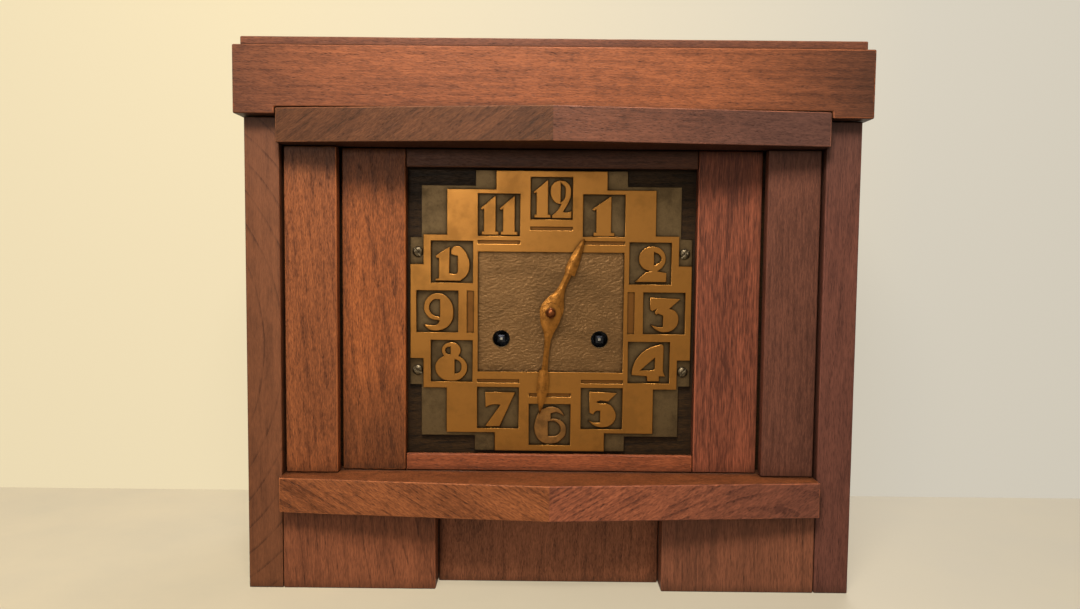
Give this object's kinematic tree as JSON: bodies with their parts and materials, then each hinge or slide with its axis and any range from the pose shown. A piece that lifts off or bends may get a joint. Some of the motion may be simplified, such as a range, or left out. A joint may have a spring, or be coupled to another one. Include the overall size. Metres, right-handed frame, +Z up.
{
  "type": "mantel clock",
  "caption": "Stepped oak mantel clock with a square relief brass dial, hands, a spring-wound pendulum movement that strikes a gong, and a hinged back door.",
  "frame": {"origin": "middle of the bounding box on the surface that it stands on", "axes": "+X to the right as seen from the front, +Y to the back, +Z up"},
  "size_m": [0.36, 0.1776, 0.3195],
  "materials": {
    "oak": "waxed, stained red-brown",
    "oak_dark": "dark stained",
    "dial_brass": "satin, patinated recesses",
    "hand_brass": "satin",
    "bronze": "dull",
    "hinge_brass": "satin",
    "movement_brass": "brushed",
    "steel": "satin",
    "cast_iron": "black"
  },
  "bodies": {
    "case": {"dial_plate": "dial_brass", "dial_rail_bottom": "oak", "dial_rail_top": "oak", "dial_screw_lower_left": "steel", "dial_screw_lower_right": "steel", "dial_screw_upper_left": "steel", "dial_screw_upper_right": "steel", "floor_board": "oak", "foot_left": "oak", "foot_right": "oak", "frieze_back": "oak", "frieze_front": "oak", "frieze_left": "oak", "frieze_right": "oak", "front_panel": "oak_dark", "gong_block": "cast_iron", "gong_rod": "steel", "hinge_lower_case_leaf": "hinge_brass", "hinge_upper_case_leaf": "hinge_brass", "ledge": "oak", "movement_back_plate": "movement_brass", "movement_front_plate": "movement_brass", "pillar_lower_left": "movement_brass", "pillar_lower_right": "movement_brass", "pillar_upper_left": "movement_brass", "pillar_upper_right": "movement_brass", "plinth_back": "oak", "plinth_front": "oak", "side_left": "oak", "side_right": "oak", "slat_inner_left": "oak", "slat_inner_right": "oak", "slat_outer_left": "oak", "slat_outer_right": "oak", "top_board": "oak", "upper_rail": "oak"},
    "door": {"back_door": "oak_dark", "hinge_upper_door_leaf": "hinge_brass", "hinge_lower_door_leaf": "hinge_brass"},
    "catch": {"door_catch": "hinge_brass"},
    "minute_work": {"centre_arbor": "movement_brass", "minute_hand": "hand_brass", "hand_nut": "bronze"},
    "hour_work": {"hour_wheel": "movement_brass", "hour_hand": "hand_brass"},
    "minute_wheel_work": {"minute_wheel": "movement_brass"},
    "second_work": {"second_wheel": "movement_brass"},
    "time_barrel_work": {"time_barrel": "movement_brass"},
    "third_work": {"third_wheel": "movement_brass"},
    "escape_work": {"escape_wheel": "movement_brass"},
    "strike_barrel_work": {"strike_barrel": "movement_brass"},
    "pin_wheel_work": {"pin_wheel": "movement_brass"},
    "time_winding_work": {"time_winding_arbor": "steel"},
    "strike_winding_work": {"strike_winding_arbor": "steel"},
    "time_click_work": {"time_click": "steel"},
    "strike_click_work": {"strike_click": "steel"},
    "hammer_work": {"hammer": "steel"},
    "anchor_work": {"anchor": "steel"},
    "pendulum": {"pendulum_rod": "steel", "pendulum_bob": "movement_brass"}
  },
  "joints": [
    {"name": "minute_turn", "type": "hinge", "parent": "case", "child": "minute_work", "pos_m": [0, -0.03621, 0.1638], "axis": [0, 1, 0], "continuous": true},
    {"name": "hour_turn", "type": "hinge", "parent": "case", "child": "hour_work", "pos_m": [0, -0.03621, 0.1638], "axis": [0, 1, 0], "continuous": true},
    {"name": "minute_wheel_turn", "type": "hinge", "parent": "case", "child": "minute_wheel_work", "pos_m": [0, -0.03321, 0.1494], "axis": [0, 1, 0], "continuous": true},
    {"name": "second_wheel_turn", "type": "hinge", "parent": "case", "child": "second_work", "pos_m": [0.0172, -0.00621, 0.17164], "axis": [0, 1, 0], "continuous": true},
    {"name": "time_barrel_turn", "type": "hinge", "parent": "case", "child": "time_barrel_work", "pos_m": [0.0295, -0.00621, 0.1476], "axis": [0, 1, 0], "continuous": true},
    {"name": "third_wheel_turn", "type": "hinge", "parent": "case", "child": "third_work", "pos_m": [-0.00817, -0.00621, 0.17793], "axis": [0, 1, 0], "continuous": true},
    {"name": "escape_turn", "type": "hinge", "parent": "case", "child": "escape_work", "pos_m": [0, -0.00621, 0.1886], "axis": [0, 1, 0], "continuous": true},
    {"name": "strike_barrel_turn", "type": "hinge", "parent": "case", "child": "strike_barrel_work", "pos_m": [-0.0295, -0.00621, 0.1476], "axis": [0, 1, 0], "continuous": true},
    {"name": "pin_wheel_turn", "type": "hinge", "parent": "case", "child": "pin_wheel_work", "pos_m": [-0.0295, -0.00621, 0.1746], "axis": [0, 1, 0], "continuous": true},
    {"name": "time_winding", "type": "hinge", "parent": "case", "child": "time_winding_work", "pos_m": [0.0295, -0.03621, 0.1476], "axis": [0, 1, 0], "range_deg": [0, 2160]},
    {"name": "strike_winding", "type": "hinge", "parent": "case", "child": "strike_winding_work", "pos_m": [-0.0295, -0.03621, 0.1476], "axis": [0, 1, 0], "range_deg": [0, 2160]},
    {"name": "time_click_lift", "type": "hinge", "parent": "case", "child": "time_click_work", "pos_m": [0.0445, -0.02921, 0.1556], "axis": [0, 1, 0], "range_deg": [0, 20], "stiffness_Nm_per_rad": 0.005},
    {"name": "strike_click_lift", "type": "hinge", "parent": "case", "child": "strike_click_work", "pos_m": [-0.0445, -0.02921, 0.1556], "axis": [0, 1, 0], "range_deg": [-20, 0], "stiffness_Nm_per_rad": 0.005},
    {"name": "hammer_lift", "type": "hinge", "parent": "case", "child": "hammer_work", "pos_m": [-0.032, 0.02379, 0.1196], "axis": [0, 1, 0], "range_deg": [0, 18]},
    {"name": "pendulum_swing", "type": "hinge", "parent": "case", "child": "pendulum", "pos_m": [0, 0.01779, 0.203], "axis": [0, 1, 0], "range_deg": [-4, 4]},
    {"name": "anchor_swing", "type": "hinge", "parent": "case", "child": "anchor_work", "pos_m": [0, -0.00621, 0.203], "axis": [0, 1, 0], "range_deg": [-4, 4]},
    {"name": "door_open", "type": "hinge", "parent": "case", "child": "door", "pos_m": [0.1564, 0.08661, 0.163], "axis": [0, 0, -1], "range_deg": [0, 110]},
    {"name": "catch_turn", "type": "hinge", "parent": "case", "child": "catch", "pos_m": [-0.1667, 0.08479, 0.17205], "axis": [0, 1, 0], "range_deg": [0, 90]}
  ],
  "couplings": [
    {"joint": "hour_turn", "follows": "minute_turn", "ratio": 0.083333},
    {"joint": "minute_wheel_turn", "follows": "minute_turn", "ratio": -0.33333},
    {"joint": "second_wheel_turn", "follows": "minute_turn", "ratio": -0.16667},
    {"joint": "time_barrel_turn", "follows": "minute_turn", "ratio": 0.033333},
    {"joint": "third_wheel_turn", "follows": "minute_turn", "ratio": -7.5},
    {"joint": "escape_turn", "follows": "minute_turn", "ratio": 52.5},
    {"joint": "pin_wheel_turn", "follows": "strike_barrel_turn", "ratio": -5},
    {"joint": "anchor_swing", "follows": "pendulum_swing", "ratio": 1}
  ]
}
